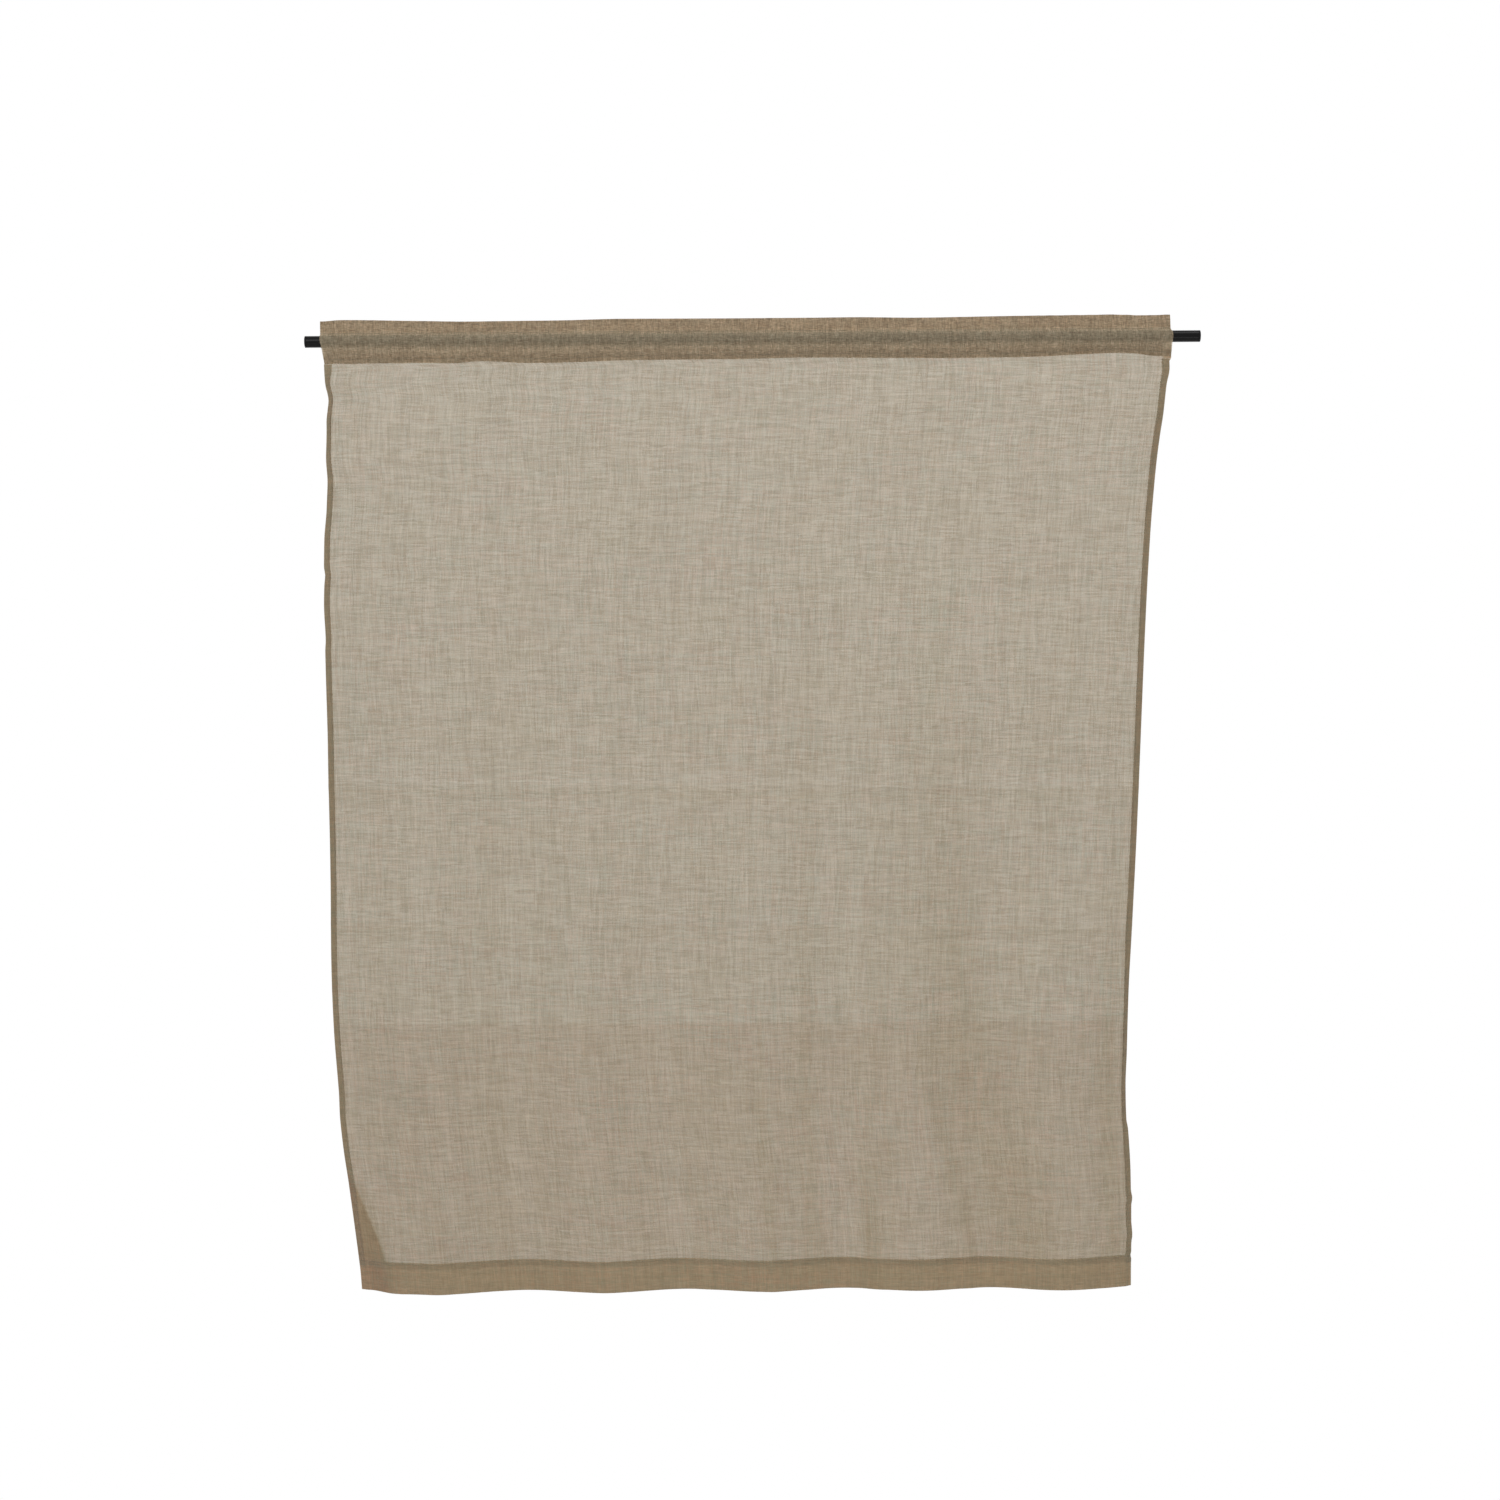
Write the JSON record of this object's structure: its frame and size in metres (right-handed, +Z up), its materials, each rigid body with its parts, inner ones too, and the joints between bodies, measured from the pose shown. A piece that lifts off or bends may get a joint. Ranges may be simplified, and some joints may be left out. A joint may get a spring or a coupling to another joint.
{
  "type": "fabric room curtain panel",
  "caption": "Sheer linen-look curtain panel with a rod pocket and header, hemmed on all sides, hung on a plain round black rod.",
  "frame": {"origin": "on the rod's axis, at the middle of the rod's length", "axes": "+X along the rod, from the return edge to the leading edge; +Y from the room towards the window; +Z up"},
  "size_m": [1.476, 0.0386, 1.6],
  "materials": {
    "rod": "satin black",
    "plug": "matte black",
    "sheer_cloth": "sheer linen weave with slubs",
    "folded_cloth": "the same cloth, folded double",
    "thread": "matte sewing thread"
  },
  "bodies": {
    "rod": {"rod_tube": "rod", "end_plug_left": "plug", "end_plug_right": "plug"},
    "heading": {"heading_pocket": "folded_cloth", "header_seam": "thread", "channel_seam": "thread"},
    "drape": {"drape_cloth": "sheer_cloth", "return_side_hem": "folded_cloth", "return_side_seam": "thread", "bottom_hem": "folded_cloth", "bottom_hem_seam": "thread"},
    "leading_edge": {"leading_side_hem": "folded_cloth", "leading_side_seam": "thread"}
  },
  "joints": [
    {"name": "slide_along_rod", "type": "slide", "parent": "rod", "child": "heading", "axis": [1, 0, 0], "range_m": [-0.025, 0.051]},
    {"name": "swing", "type": "hinge", "parent": "heading", "child": "drape", "pos_m": [0, -0.0009, -0.0355], "axis": [1, 0, 0], "range_deg": [-30, 30]},
    {"name": "draw_open", "type": "slide", "parent": "drape", "child": "leading_edge", "axis": [-1, 0, 0], "range_m": [0, 0.91], "deforming": ["heading_pocket", "header_seam", "channel_seam", "drape_cloth", "bottom_hem", "bottom_hem_seam"]}
  ]
}
